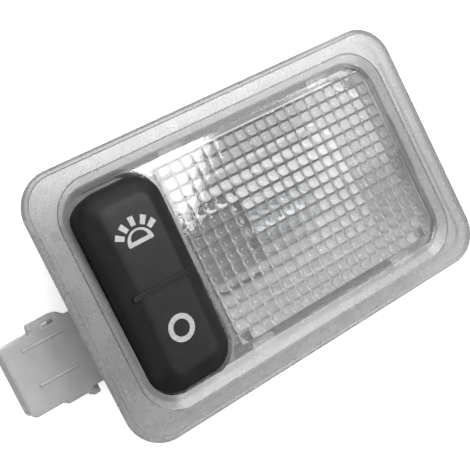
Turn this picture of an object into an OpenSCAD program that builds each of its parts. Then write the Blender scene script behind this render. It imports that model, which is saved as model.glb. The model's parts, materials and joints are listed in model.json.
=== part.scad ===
// Car dome light: a clear front moulding with a prismatic lens, a clear base with its
// connector, and a three-position rocker switch. Millimetres, lens up, resting on its back.
// The origin is at the middle of the footprint, connector included.

/* [Flange] */
// Length of the flange
flange_l = 93; // [90:1:110]
// Width of the flange
flange_w = 58; // [56:1:70]
// Radius of the flange's corners
flange_corner = 8; // [7:0.5:12]
// Height of the rim above the seat, up to its widest line
rim_h = 2; // [1.6:0.1:3]
// Rise of the rolled edge above the widest line
crest_h = 1; // [0.6:0.1:1.4]
// Width of the lip that seats on the headliner
lip_w = 2.2; // [1.4:0.2:3]
// Depth of the pocket between lip and body
pocket_d = 0.9; // [0.4:0.1:1.2]

/* [Body] */
// Length of the body behind the flange
body_l = 80; // [76:1:84]
// Width of the body behind the flange
body_w = 47; // [45:0.5:49]
// Depth of the body behind the flange's seat
body_depth = 17; // [17:0.5:24]
// Outer radius of the body's corners
body_corner = 7.35; // [5:0.5:9]
// Wall of both mouldings
wall = 1.35; // [1.2:0.05:1.6]
// Floor of the base
floor_t = 1.6; // [1.2:0.1:2]
// Height of the base, where the two mouldings meet
base_h = 12; // [11.5:0.1:12.3]

/* [Lens] */
// Depth of the recess that holds lens and rocker
recess_d = 1.4; // [0.8:0.1:1.6]
// Width of the recess's sloping wall
recess_bevel = 2.4; // [1.5:0.1:3]
// Thickness of the lens plate
lens_t = 2; // [1.6:0.1:2.4]
// Length of one prism
prism_l = 2.75; // [2.5:0.25:5]
// Width of one prism
prism_w = 2.7; // [2.5:0.25:5]
// Height of one prism
prism_h = 0.8; // [0.5:0.1:1.1]
// Share of a prism's pitch that its sloping flank takes
prism_flank = 0.22; // [0.15:0.01:0.4]
// Plain strip between prisms and collar
prism_gap = 0.1; // [0.1:0.1:2]
// Plain strip between prisms and the far wall
prism_edge = 0.5; // [0.3:0.1:2]
// Plain strip beside the prisms along the long sides
prism_margin = 1.9; // [1.4:0.1:4]

/* [Rocker] */
// Width of the rocker
rocker_w = 18.9; // [17.5:0.1:20]
// End gap between rocker and opening
rocker_end_gap = 0.55; // [0.4:0.05:0.9]
// Side gap between rocker and opening
rocker_gap = 0.3; // [0.2:0.05:0.5]
// Height of the rocker's crown above the flange's widest line
crown_h = 4.4; // [3.5:0.1:5.5]
// Radius of the crown along the rocker
crown_r = 150; // [110:5:300]
// Height of the pivot above the joint of the mouldings
pivot_rise = 3; // [2.6:0.1:3.2]
// Turn from the middle position to either end, in degrees
half_turn = 5; // [3:0.5:6]
// Wall of the rocker's skirt
rocker_wall = 1.6; // [1.2:0.1:2]
// Radius of the trunnions
trunnion_r = 1.2; // [0.9:0.1:1.4]
// Radial running clearance of the trunnions
running_gap = 0.05; // [0.03:0.01:0.08]
// Length of the finger rib
rib_l = 13.4; // [10:0.2:14]
// Width of the finger rib
rib_w = 1.1; // [0.8:0.1:1.6]
// Height of the finger rib above the crown
rib_h = 0.35; // [0.2:0.05:0.6]
// Thickness of the collar beside the rocker
collar_t = 1.05; // [1:0.05:1.4]
// Rise of the collar above the recess floor
collar_rise = 0.3; // [0.1:0.05:0.6]

/* [Detent] */
// Radius of the detent plunger
plunger_r = 1.5; // [1.3:0.1:1.7]
// Radial running clearance of the plunger
plunger_gap = 0.07; // [0.03:0.01:0.1]
// Length of the plunger's straight shank
plunger_l = 6; // [5:0.5:6.5]
// Radius of the plunger's tip
tip_r = 0.45; // [0.3:0.05:0.6]
// Wall of the tube that guides the plunger
tube_wall = 1.2; // [1:0.1:1.4]
// Wire radius of the detent spring
spring_wire_r = 0.17; // [0.12:0.01:0.2]
// Turns of the detent spring
spring_turns = 7; // [5:1:9]

/* [Connector] */
// Reach of the connector past the flange
conn_reach = 13; // [11:0.5:16]
// Width of the connector
conn_w = 15.2; // [15:0.2:17]
// Height of the connector
conn_h = 7.6; // [7.4:0.1:8]
// Height of the connector's underside
conn_z = 0.8; // [0.4:0.1:1.2]
// Sideways place of the connector
conn_y = -5.8; // [-8:0.2:-4]
// Wall of the connector
conn_wall = 1.1; // [0.9:0.1:1.2]
// Depth of the socket
socket_depth = 16; // [14:0.5:17]
// Length of the blades inside the socket
blade_l = 9; // [7:0.5:9.5]
// Pitch of the blades
blade_pitch = 4.2; // [3.8:0.1:4.4]
// Width of the blades
blade_w = 2.8; // [2.2:0.1:2.8]

/* [Circuit] */
// Thickness of the contact strips
strip_t = 0.8; // [0.6:0.05:0.8]
// Height of the deck that carries the strips
deck_z = 4.2; // [4:0.1:4.4]
// Width of a strip where it runs free
lane_w = 2.8; // [2:0.1:2.8]
// Width of a contact pad
pad_w = 1.4; // [1.2:0.1:1.6]
// Gap between a wiper's foot and its pad
pad_gap = 0.25; // [0.2:0.05:0.4]
// Thickness of the wiper's sheet
wiper_t = 0.4; // [0.3:0.05:0.5]
// Radius of a rivet's shank
rivet_r = 0.9; // [0.7:0.05:1]

/* [Lamp] */
// Radius of the bulb
bulb_r = 5; // [4.5:0.1:5.2]
// Length of the bulb's round part
bulb_l = 20; // [16:0.5:24]
// Wall of the bulb
bulb_wall = 0.7; // [0.5:0.05:0.8]
// Height of the bulb's axis
bulb_z = 8.6; // [8.4:0.1:9]
// Width of the bulb's pinched foot
foot_w = 9.4; // [8.8:0.1:9.6]
// Thickness of the bulb's pinched foot
foot_t = 2.2; // [1.8:0.1:2.4]
// Length of the bulb holder
holder_l = 15; // [14:0.5:17]
// Width of the bulb holder
holder_w = 16; // [15:0.5:18]
// Height of the bulb holder's cheeks
holder_h = 10.4; // [10:0.1:11]
// Sheet of the reflector
reflector_t = 0.9; // [0.7:0.1:1.2]
// Sideways lean of the reflector's walls
reflector_lean = 7; // [4:0.5:9]

/* [Retaining clip] */
// Width of the spring clip
clip_w = 14; // [10:0.5:18]
// Thickness of the spring clip
clip_t = 0.5; // [0.4:0.05:0.6]
// Reach of the clip's nose past the body
clip_reach = 4.2; // [3:0.1:5]
// Width of a fixed lug at the other end
lug_w = 6; // [4:0.5:8]
// Reach of a fixed lug past the body
lug_reach = 2.2; // [1.5:0.1:3]

/* [Hidden] */
$fn = 64;

eps = 0.01;
fit = 0.1;
seat = 0.05;
mid_x = conn_reach / 2;
seat_z = body_depth;
rim_z = seat_z + rim_h;
crest_z = rim_z + crest_h;
recess_z = crest_z - recess_d;
plate_z = recess_z - lens_t;

inner_l = body_l - 2 * wall;
inner_w = body_w - 2 * wall;
inner_corner = body_corner - wall;
body_left = mid_x - body_l / 2;
body_right = mid_x + body_l / 2;
inner_left = body_left + wall;
inner_right = body_right - wall;
rocker_l = inner_w - 2 * rocker_end_gap;

open_l = rocker_w + 2 * rocker_gap;
rocker_x = inner_left + open_l / 2;
collar_x = inner_left + open_l;
chamber_left = collar_x + collar_t;
pivot_z = base_h + pivot_rise;
rocker_rim_z = rim_z;
rocker_top_z = rim_z + crown_h;
rocker_low_z = pivot_z - 1.6;
rocker_roof_z = rocker_top_z - 3.2;
rocker_corner = inner_corner;

strip_top = deck_z + strip_t;
rivet_depth = 2.1;
foot_r = 0.3;
wiper_l = 12.6;
wiper_w = 4.6;
wiper_z = strip_top + pad_gap + 1.25;
carrier_z = wiper_z + wiper_t;
tip_z = deck_z + 0.4;
cone_h = plunger_r - tip_r;
shank_z = tip_z + tip_r + cone_h;
bore_r = plunger_r + plunger_gap;
bore_top = rocker_roof_z - 2.4;
spring_r = plunger_r - 0.12 - spring_wire_r;
notch_pitch = (pivot_z - tip_z) * sin(half_turn);

conn_left = mid_x - flange_l / 2 - conn_reach;
socket_end = conn_left + socket_depth;
blade_tip = socket_end - blade_l;
socket_w = conn_w - 2 * conn_wall;
socket_h = conn_h - 2 * conn_wall;
supply_y = conn_y - blade_pitch;
earth_y = conn_y;
door_y = conn_y + blade_pitch;
lamp_y = 7;

door_x = rocker_x - 5.5;
lamp_x = rocker_x + 2.6;
earth_x = rocker_x + 5.4;

holder_x = chamber_left + 2;
foot_start = holder_x + 3.6;
foot_l = 9.4;
neck_x = foot_start + foot_l;
tongue_w = 2.4;
tongue_t = 0.4;
riser_x = holder_x + 1.2;
tongue_y = 2.8;
filament_x = neck_x + 0.5 * bulb_l;
filament_half = 2.6;

hook_t = 1;
reflector_left = holder_x + 0.4;
reflector_w = inner_w - 2 * (hook_t + fit + 0.3);
reflector_right = inner_right - 0.5;
reflector_top = base_h - 0.4;

// Rectangle with round corners, exact for extrusion
module rounded(l, w, r) {
    square([l - 2 * r, w], center = true);
    square([l, w - 2 * r], center = true);
    for (sx = [-1, 1], sy = [-1, 1])
        translate([sx * (l / 2 - r), sy * (w / 2 - r)])
            circle(r);
}

// One thin layer of a smooth outline that hull() joins to the next
module layer(l, w, r, z) {
    translate([0, 0, z])
        linear_extrude(eps)
            rounded(l, w, r, $fn = 40);
}

// Slot shape with round ends along X
module capsule(l, w) {
    square([l - w, w], center = true);
    for (s = [-1, 1])
        translate([s * (l - w) / 2, 0])
            circle(w / 2);
}

// Unit normal of the step from point a to point b
function normal(a, b) = let (d = b - a) [-d[1], d[0]] / norm(d);

// Mitred offset of a bent path at point i, by distance k
function mitre(path, i, k) = let (
    n = len(path) - 1,
    n0 = normal(path[max(i - 1, 0)], path[max(i, 1)]),
    n1 = normal(path[min(i, n - 1)], path[min(i + 1, n)]),
    m = n0 + n1
) path[i] + k * 2 * m / (m * m);

// Section of a bent sheet of thickness t that follows a path
module bent_sheet(path, t) {
    polygon(concat(
        [for (i = [0:len(path) - 1]) mitre(path, i, t / 2)],
        [for (i = [len(path) - 1:-1:0]) mitre(path, i, -t / 2)]));
}

// Round wire wound around Z from z0 to z1
module coil(r, wire_r, turns, z0, z1) {
    steps = 14;
    sides = 6;
    rings = turns * steps;
    points = [for (i = [0:rings], j = [0:sides - 1])
        let (a = i * 360 / steps, b = j * 360 / sides, q = r + wire_r * cos(b))
            [q * cos(a), q * sin(a),
             z0 + wire_r + (z1 - z0 - 2 * wire_r) * i / rings + wire_r * sin(b)]];
    walls = [for (i = [0:rings - 1], j = [0:sides - 1])
        let (k = (j + 1) % sides)
            [i * sides + j, (i + 1) * sides + j, (i + 1) * sides + k, i * sides + k]];
    start = [for (j = [0:sides - 1]) j];
    end = [for (j = [sides - 1:-1:0]) rings * sides + j];
    polyhedron(points, concat(walls, [start, end]));
}

// Everything on the rocker turns with it about the pivot; at rest the O end is pressed
module at_rest() {
    translate([rocker_x, 0, pivot_z])
        rotate([half_turn, 0, 0])
            translate([0, 0, -pivot_z])
                children();
}

// Outer form of the flange with its rolled edge
module flange_form() {
    translate([mid_x, 0, 0])
        hull()
            for (p = [[0.8, seat_z], [0, rim_z], [0.35, rim_z + 0.6 * crest_h],
                      [1.2, rim_z + 0.9 * crest_h], [2.6, crest_z - eps]])
                layer(flange_l - 2 * p[0], flange_w - 2 * p[0], flange_corner - p[0], p[1]);
}

// Recess with sloping walls, cut from the crest to the lens
module recess_cut() {
    over = 0.4;
    spread = recess_bevel * (recess_d + over) / recess_d;
    translate([mid_x, 0, 0])
        hull() {
            layer(inner_l, inner_w, inner_corner, recess_z);
            layer(inner_l + 2 * spread, inner_w + 2 * spread, inner_corner + spread,
                crest_z + over);
        }
}

// Rocker's opening in plan
module opening_plan() {
    translate([rocker_x, 0])
        rounded(open_l, inner_w, inner_corner);
}

// Wall between rocker and lens, which carries one trunnion
module collar() {
    translate([0, 0, base_h])
        linear_extrude(recess_z + collar_rise - base_h)
            intersection() {
                difference() {
                    translate([rocker_x, 0])
                        rounded(open_l + 2 * collar_t, inner_w + 2 * fit,
                            inner_corner + collar_t);
                    opening_plan();
                }
                translate([rocker_x, -inner_w / 2])
                    square([open_l, inner_w]);
            }
}

// Row of soft ridges with sloping flanks, repeated along X
module ridges(count, pitch, height, depth) {
    translate([0, depth / 2, 0])
        rotate([90, 0, 0])
            linear_extrude(depth)
                polygon(concat(
                    [[0, eps]],
                    [for (i = [0:count - 1],
                          p = [[0, 0], [prism_flank, -height], [1 - prism_flank, -height]])
                        [(i + p[0]) * pitch, p[1]]],
                    [[count * pitch, 0], [count * pitch, eps]]));
}

// Square pillows on the inside of the lens, where two rows of ridges cross
module prisms() {
    field_l = inner_right - prism_edge - chamber_left - prism_gap;
    columns = ceil(field_l / prism_l);
    rows = floor((inner_w - 2 * prism_margin) / prism_w);
    full_l = columns * prism_l;
    field_w = rows * prism_w;
    translate([inner_right - prism_edge, 0, plate_z])
        intersection() {
            translate([-full_l, 0, 0])
                ridges(columns, prism_l, prism_h, field_w);
            translate([-full_l / 2, -field_w / 2, 0])
                rotate([0, 0, 90])
                    ridges(rows, prism_w, prism_h, full_l);
            translate([-field_l, -field_w / 2, -prism_h - eps])
                cube([field_l, field_w, prism_h + 2 * eps]);
        }
}

// Windows in the long sides and the hooks that click into them
module snap_places() {
    for (x = [chamber_left + 6.5, inner_right - 11], side = [-1, 1])
        translate([x, 0, 0])
            scale_side(side)
                children();
}

// Turns a shape on the +Y side to the -Y side
module scale_side(side) {
    rotate([0, 0, side > 0 ? 0 : 180])
        children();
}

module lens_bezel() {
    color([0.86, 0.87, 0.88, 0.55]) {
        difference() {
            union() {
                difference() {
                    union() {
                        flange_form();
                        translate([mid_x, 0, base_h])
                            linear_extrude(seat_z - base_h + pocket_d + eps)
                                rounded(body_l, body_w, body_corner);
                        for (side = [-1, 1])
                            translate([body_left + eps, side * body_w * 0.32 + lug_w / 2, base_h])
                                rotate([90, 0, 0])
                                    linear_extrude(lug_w)
                                        polygon([[0, 0], [0, 2.6], [-lug_reach, 2.2],
                                            [-lug_reach, 1.6]]);
                    }
                    recess_cut();
                    translate([mid_x, 0, base_h - 1])
                        linear_extrude(plate_z - base_h + 1)
                            rounded(inner_l, inner_w, inner_corner);
                    translate([0, 0, base_h - 1])
                        linear_extrude(crest_z - base_h + 2)
                            opening_plan();
                    translate([mid_x, 0, seat_z - 1])
                        linear_extrude(pocket_d + 1)
                            difference() {
                                rounded(flange_l - 1.6 - 2 * lip_w, flange_w - 1.6 - 2 * lip_w,
                                    flange_corner - 0.8 - lip_w);
                                rounded(body_l, body_w, body_corner);
                            }
                    snap_places()
                        translate([-3, inner_w / 2 - 1, base_h + 1.4])
                            cube([6, wall + 2, 1.8]);
                }
                collar();
            }
            translate([body_left - 1, 0, pivot_z])
                rotate([0, 90, 0])
                    cylinder(r = trunnion_r + running_gap, h = open_l + collar_t + wall + 2);
        }
        prisms();
    }
}

// Hook that rises from the base and clicks into the front moulding
module snap_hook() {
    hook_y = inner_w / 2 - fit;
    translate([2.7, 0, 0])
        rotate([90, 0, -90])
            linear_extrude(5.4)
                polygon([[-hook_y + hook_t, base_h - 4], [-inner_w / 2 - eps, base_h - 4],
                    [-inner_w / 2 - eps, base_h], [-hook_y, base_h], [-hook_y, base_h + 1.6],
                    [-hook_y - 0.9, base_h + 1.6], [-hook_y, base_h + 3],
                    [-hook_y + 0.7, base_h + 3]]);
}

// Connector shroud with its latch bridge, steps and keying ribs
module shroud() {
    left = conn_left;
    length = body_left - left + eps;
    half = conn_w / 2;
    translate([left, conn_y - half, conn_z])
        linear_extrude(conn_h) {
            translate([1, 0])
                square([length - 1, conn_w]);
            translate([0, 1])
                square([length, conn_w - 2]);
            for (y = [1, conn_w - 1])
                translate([1, y])
                    circle(1);
        }
    for (y = [-2.3, 5.35])
        translate([left + 3.7, conn_y + y - 0.35, conn_z + conn_h - eps])
            cube([9.3, 0.7, 0.5]);
    translate([0, 0, conn_z + 2])
        linear_extrude(conn_h - 2)
            difference() {
                translate([left + 7, conn_y + half - eps])
                    polygon([[0, 0], [0.4, 1.8], [6.2, 1.8], [8.2, 0]]);
                translate([left + 9.5, conn_y + half - 0.4 + eps])
                    square([2.4, 1.1]);
            }
    translate([left + 7.2, conn_y - half - 0.75, conn_z + 2])
        cube([5.6, 0.75 + eps, conn_h - 2]);
    translate([left + 12.9, conn_y - half - 2, conn_z + 2])
        cube([1.8, 2 + eps, 4]);
}

// Three shallow notches that the detent plunger drops into
module detent_cam() {
    ridge = 0.26;
    half = 1.5 * notch_pitch;
    translate([rocker_x - 1.2, 0, deck_z - eps])
        rotate([90, 0, 90])
            linear_extrude(2.4)
                polygon([[-half - 0.8, 0], [-half, ridge],
                    for (k = [-1, 0]) each [[k * notch_pitch, 0.02],
                        [(k + 0.5) * notch_pitch, ridge]],
                    [notch_pitch, 0.02], [half, ridge], [half + 0.8, 0]]);
}

// Plan of each stamped strip
module supply_plan() {
    translate([blade_tip, supply_y - blade_w / 2])
        square([socket_end - blade_tip + eps, blade_w]);
    translate([socket_end, supply_y - lane_w / 2])
        square([chamber_left + 1.4 - socket_end, lane_w]);
    translate([chamber_left + 0.2, supply_y - lane_w / 2])
        square([1.2, -tongue_y + tongue_w / 2 - supply_y + lane_w / 2]);
    translate([chamber_left + 0.2, -tongue_y - tongue_w / 2])
        square([riser_x - chamber_left - 0.2 + tongue_t, tongue_w]);
}

module lamp_plan() {
    translate([lamp_x - pad_w / 2, -notch_pitch - 1])
        square([pad_w, lamp_y + lane_w / 2 + notch_pitch + 1]);
    translate([lamp_x - pad_w / 2, lamp_y - lane_w / 2])
        square([chamber_left + 1.4 - lamp_x + pad_w / 2, lane_w]);
    translate([chamber_left + 0.2, tongue_y - tongue_w / 2])
        square([1.2, lamp_y + lane_w / 2 - tongue_y + tongue_w / 2]);
    translate([chamber_left + 0.2, tongue_y - tongue_w / 2])
        square([riser_x - chamber_left - 0.2 + tongue_t, tongue_w]);
}

module earth_plan() {
    translate([blade_tip, earth_y - blade_w / 2])
        square([socket_end - blade_tip + eps, blade_w]);
    translate([socket_end, earth_y - lane_w / 2])
        square([earth_x + pad_w / 2 - socket_end, lane_w]);
    translate([earth_x - pad_w / 2, earth_y - lane_w / 2])
        square([pad_w, -notch_pitch / 2 - earth_y + lane_w / 2]);
}

module door_plan() {
    translate([blade_tip, door_y - blade_w / 2])
        square([socket_end - blade_tip + eps, blade_w]);
    translate([socket_end, door_y - lane_w / 2])
        square([door_x - 1 - socket_end, lane_w]);
    translate([door_x - 1 - eps, -notch_pitch / 2 + 0.05])
        square([1 + pad_w / 2, notch_pitch - 0.1]);
}

// Places of the rivets that hold the strips down
rivet_places = [[rocker_x - 1.5, supply_y], [rocker_x - 1.5, earth_y],
    [door_x - 2.6, door_y], [chamber_left - 4, lamp_y]];

module at_rivets() {
    for (p = rivet_places)
        translate([p[0], p[1], 0])
            children();
}

// Lays a strip's plan on the deck, with its rivet holes
module strip_sheet() {
    difference() {
        translate([0, 0, deck_z])
            linear_extrude(strip_t)
                children();
        at_rivets()
            translate([0, 0, deck_z - 1])
                cylinder(r = rivet_r + seat, h = strip_t + 2);
    }
}

// Spring tongue that rises from a strip and lies along the bulb's foot
module tongue(y, above) {
    reach_z = bulb_z + (above ? 1 : -1) * (foot_t / 2 + tongue_t / 2 + seat);
    translate([0, y + tongue_w / 2, 0])
        rotate([90, 0, 0])
            linear_extrude(tongue_w)
                bent_sheet([[riser_x + tongue_t / 2, strip_top - eps],
                    [riser_x + tongue_t / 2, reach_z - 0.6],
                    [riser_x + tongue_t / 2 + 0.6, reach_z],
                    [neck_x - 3.4, reach_z]], tongue_t);
}

module base_housing() {
    color([0.84, 0.85, 0.86, 0.6])
    difference() {
        union() {
            difference() {
                translate([mid_x, 0, 0])
                    linear_extrude(base_h)
                        rounded(body_l, body_w, body_corner);
                translate([mid_x, 0, floor_t])
                    linear_extrude(base_h)
                        rounded(inner_l, inner_w, inner_corner);
            }
            translate([0, 0, floor_t - eps])
                linear_extrude(deck_z - floor_t + eps)
                    intersection() {
                        translate([mid_x, 0])
                            rounded(inner_l + eps, inner_w + eps, inner_corner);
                        translate([inner_left - 1, -inner_w])
                            square([collar_x - inner_left + 1 + collar_t, 2 * inner_w]);
                    }
            translate([collar_x, -inner_w / 2 - eps, floor_t])
                cube([collar_t, inner_w + 2 * eps, base_h - floor_t]);
            shroud();
            snap_places()
                snap_hook();
            detent_cam();
        }
        translate([conn_left - 1, conn_y - socket_w / 2, conn_z + conn_wall])
            cube([socket_depth + 1, socket_w, socket_h]);
        translate([0, 0, deck_z - seat])
            linear_extrude(strip_t + 2 * seat)
                intersection() {
                    offset_strips();
                    translate([conn_left, -body_w / 2])
                        square([inner_left - conn_left, body_w]);
                }
        for (y = [supply_y, lamp_y])
            translate([collar_x - 1, y - lane_w / 2 - fit, deck_z])
                cube([collar_t + 2, lane_w + 2 * fit, strip_t + fit]);
        at_rivets()
            translate([0, 0, deck_z - rivet_depth - 0.1])
                cylinder(r = rivet_r + seat, h = rivet_depth + 0.9);
        for (x = [inner_left + 3.2, inner_left + 11.8], y = [-14.5, 2.5, 12])
            translate([x, y, -1])
                cube([5, 5, floor_t + 1]);
        translate([inner_right - 1, 0, clip_rivet_z])
            rotate([0, 90, 0])
                cylinder(r = clip_rivet_r + seat, h = wall + 2);
    }
}

// Blades and lanes with a small clearance all round, for the pin wall
module offset_strips() {
    for (y = [supply_y, earth_y, door_y])
        translate([socket_end - 1, y - max(blade_w, lane_w) / 2 - seat])
            square([inner_left - socket_end + 2, max(blade_w, lane_w) + 2 * seat]);
}

// Outer form of the rocker: a tall pillow with a crowned top
module rocker_form() {
    intersection() {
        hull() {
            layer(rocker_w, rocker_l - 1.6, rocker_corner, rocker_low_z);
            for (p = [[0, 0], [0.25, 0.25], [0.9, 0.48], [2.1, 0.76], [3.9, 1.1]])
                layer(rocker_w - 2 * p[0], rocker_l - 2 * p[0],
                    max(rocker_corner - p[0], 1), rocker_rim_z + p[1] * crown_h);
        }
        translate([-rocker_w, 0, rocker_top_z - crown_r])
            rotate([0, 90, 0])
                cylinder(r = crown_r, h = 2 * rocker_w, $fn = 360);
    }
}

module rocker_solid() {
    carrier_l = wiper_l + 1.4;
    carrier_w = wiper_w + 0.6;
    difference() {
        union() {
            difference() {
                rocker_form();
                translate([0, 0, rocker_low_z - 1])
                    linear_extrude(rocker_roof_z - rocker_low_z + 1)
                        rounded(rocker_w - 2 * rocker_wall, rocker_l - 2 * rocker_wall - 1.2,
                            rocker_corner - rocker_wall);
            }
            for (s = [-1, 1])
                translate([s * (rocker_w / 2 - eps), 0, pivot_z])
                    rotate([0, s * 90, 0])
                        cylinder(r = trunnion_r, h = rocker_gap + collar_t - fit);
            translate([0, 0, carrier_z])
                cylinder(r = bore_r + tube_wall, h = rocker_roof_z - carrier_z + eps);
            translate([-carrier_l / 2, -carrier_w / 2, carrier_z])
                cube([carrier_l, carrier_w, 1.6]);
            for (s = [-1, 1])
                translate([s * (carrier_l / 2 - 0.7) - 0.7, -carrier_w / 2, carrier_z])
                    cube([1.4, carrier_w, rocker_roof_z - carrier_z + eps]);
            for (s = [-1, 1])
                translate([s * 4, 0, carrier_z - wiper_t - 0.2])
                    cylinder(r = 0.5, h = wiper_t + 0.2 + eps);
            translate([0, 0, rocker_top_z - 2])
                linear_extrude(rib_h + 2)
                    capsule(rib_l, rib_w);
        }
        translate([0, 0, rocker_top_z + 0.05])
            linear_extrude(rib_h + 1)
                capsule(rib_l - 0.7, rib_w - 0.6);
        translate([0, 0, carrier_z - 1])
            cylinder(r = bore_r, h = bore_top - carrier_z + 1);
    }
}

module rocker() {
    color([0.13, 0.13, 0.14])
        at_rest()
            rocker_solid();
}

module detent_plunger() {
    color([0.92, 0.91, 0.86])
        at_rest() {
            rotate_extrude()
                polygon([[0, tip_z + tip_r], [tip_r, tip_z + tip_r], [plunger_r, shank_z],
                    [plunger_r, shank_z + plunger_l - 0.4], [plunger_r - 0.4, shank_z + plunger_l],
                    [0, shank_z + plunger_l]]);
            translate([0, 0, tip_z + tip_r])
                sphere(tip_r);
        }
}

module detent_spring() {
    color([0.72, 0.73, 0.75])
        at_rest()
            coil(spring_r, spring_wire_r, spring_turns, shank_z + plunger_l + seat,
                bore_top - seat);
}

module wiper_contact() {
    foot_z = strip_top + pad_gap + foot_r;
    sheet_mid = wiper_z + wiper_t / 2;
    color([0.83, 0.66, 0.3])
        at_rest() {
            difference() {
                translate([-wiper_l / 2, -wiper_w / 2, wiper_z])
                    cube([wiper_l, wiper_w, wiper_t]);
                translate([0, 0, wiper_z - 1])
                    cylinder(r = bore_r + 0.2, h = wiper_t + 2);
                for (s = [-1, 1])
                    translate([s * 4, 0, wiper_z - 1])
                        cylinder(r = 0.5 + seat, h = wiper_t + 2);
            }
            for (x = [door_x, lamp_x, earth_x] - [rocker_x, rocker_x, rocker_x]) {
                translate([x - 0.5, 0, 0])
                    rotate([90, 0, 90])
                        linear_extrude(1)
                            bent_sheet([[wiper_w / 2 - 0.1, sheet_mid],
                                [wiper_w / 2 + 0.6, sheet_mid - 0.1],
                                [wiper_w / 2 + 0.8, sheet_mid - 0.55],
                                [wiper_w / 2 + 0.3, foot_z + 0.2], [-0.2, foot_z + 0.1]], 0.25);
                translate([x - 0.5, 0, foot_z])
                    rotate([0, 90, 0])
                        cylinder(r = foot_r, h = 1, $fn = 24);
            }
        }
}

module lamp_strip() {
    color([0.83, 0.66, 0.3]) {
        strip_sheet()
            lamp_plan();
        tongue(tongue_y, false);
    }
}

module earth_strip() {
    color([0.83, 0.66, 0.3])
        strip_sheet()
            earth_plan();
}

module door_strip() {
    color([0.83, 0.66, 0.3])
        strip_sheet()
            door_plan();
}

module supply_strip() {
    color([0.83, 0.66, 0.3]) {
        strip_sheet()
            supply_plan();
        tongue(-tongue_y, true);
    }
}

module strip_rivets() {
    color([0.8, 0.62, 0.32])
        at_rivets() {
            translate([0, 0, deck_z - rivet_depth])
                cylinder(r = rivet_r, h = strip_t + rivet_depth + 0.1);
            translate([0, 0, strip_top])
                rotate_extrude()
                    polygon([[0, 0], [rivet_r + 0.6, 0], [rivet_r + 0.6, 0.15],
                        [rivet_r + 0.2, 0.45], [0, 0.45]]);
        }
}

module bulb_holder() {
    slot_t = foot_t + 2 * tongue_t + 0.9;
    color([0.3, 0.3, 0.32])
        difference() {
            translate([holder_x, -holder_w / 2, floor_t])
                cube([holder_l, holder_w, holder_h]);
            translate([holder_x + 1, -foot_w / 2 - 0.2, bulb_z - slot_t / 2])
                cube([holder_l, foot_w + 0.4, slot_t]);
            translate([neck_x - 0.6, 0, bulb_z])
                rotate([0, 90, 0])
                    cylinder(r = bulb_r + 0.3, h = holder_l);
            translate([neck_x - 0.6, -bulb_r - 0.3, bulb_z])
                cube([holder_l, 2 * bulb_r + 0.6, holder_h]);
            for (s = [-1, 1])
                translate([holder_x - 1, s * tongue_y - tongue_w / 2 - fit, deck_z - fit])
                    cube([riser_x - holder_x + 1 + tongue_t + 2 * fit, tongue_w + 2 * fit,
                        bulb_z + slot_t / 2 - deck_z + fit]);
            for (s = [-1, 1])
                translate([holder_x + holder_l - 4, s * (holder_w / 2 - 0.8) - 0.85,
                        floor_t + 2])
                    cube([5, 1.7, holder_h]);
        }
}

module bulb_outline(inset) {
    translate([0, inset > 0 ? inset + 0.8 : 0])
        square([bulb_r - inset, bulb_l - bulb_r - (inset > 0 ? inset + 0.8 : 0)]);
    intersection() {
        translate([0, bulb_l - bulb_r])
            circle(bulb_r - inset);
        translate([0, bulb_l - bulb_r - eps])
            square(bulb_r + 1);
    }
}

module bulb_glass() {
    color([0.9, 0.93, 0.95, 0.35]) {
        translate([neck_x, 0, bulb_z])
            rotate([0, 90, 0])
                rotate_extrude()
                    difference() {
                        bulb_outline(0);
                        bulb_outline(bulb_wall);
                    }
        translate([foot_start, -foot_w / 2, bulb_z - foot_t / 2])
            cube([foot_l + 0.4, foot_w, foot_t]);
    }
}

module bulb_filament() {
    color([0.45, 0.45, 0.47])
        translate([filament_x, 0, bulb_z])
            rotate([90, 0, 0])
                coil(0.5, 0.09, 9, -filament_half + 0.3, filament_half - 0.3);
}

module bulb_leads() {
    color([0.6, 0.6, 0.62])
        for (s = [-1, 1])
            translate([neck_x + bulb_wall + 0.85, s * filament_half, bulb_z])
                rotate([0, 90, 0])
                    cylinder(r = 0.22, h = filament_x - neck_x - bulb_wall, $fn = 24);
}

// Plan of the reflector, drawn in by a lean
module reflector_layer(inset, z) {
    length = reflector_right - reflector_left;
    translate([(reflector_left + reflector_right) / 2, 0, 0])
        layer(length - 2 * inset, reflector_w - 2 * inset, inner_corner, z);
}

module reflector() {
    color([0.95, 0.95, 0.93])
        difference() {
            hull() {
                reflector_layer(0, reflector_top - eps);
                reflector_layer(reflector_lean, floor_t);
            }
            hull() {
                reflector_layer(reflector_t * 1.2, reflector_top + eps);
                reflector_layer(reflector_lean + reflector_t * 0.4, floor_t + reflector_t);
            }
            translate([reflector_left - 1, -holder_w / 2 - 0.3, 0])
                cube([holder_x + holder_l + 1.3 - reflector_left, holder_w + 0.6, base_h]);
        }
}

clip_rivet_z = 6.2;
clip_rivet_r = 1.4;
clip_x = body_right + clip_t / 2;
clip_path = [[clip_x, 10], [clip_x, 1.9], [clip_x + 0.5, 1.1], [clip_x + 1.3, 1.1],
    [clip_x + 1.9, 1.9], [body_right + clip_reach, seat_z - 5], [body_right + clip_reach, seat_z - 4.2],
    [body_right + 0.6 * clip_reach, seat_z - 2.2], [body_right + 0.7 * clip_reach, seat_z - 1.2]];

module retaining_clip() {
    color([0.62, 0.63, 0.66])
        difference() {
            translate([0, clip_w / 2, 0])
                rotate([90, 0, 0])
                    linear_extrude(clip_w)
                        bent_sheet(clip_path, clip_t);
            translate([body_right - 1, 0, clip_rivet_z])
                rotate([0, 90, 0])
                    cylinder(r = clip_rivet_r + seat, h = clip_t + 1.2);
        }
}

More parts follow.
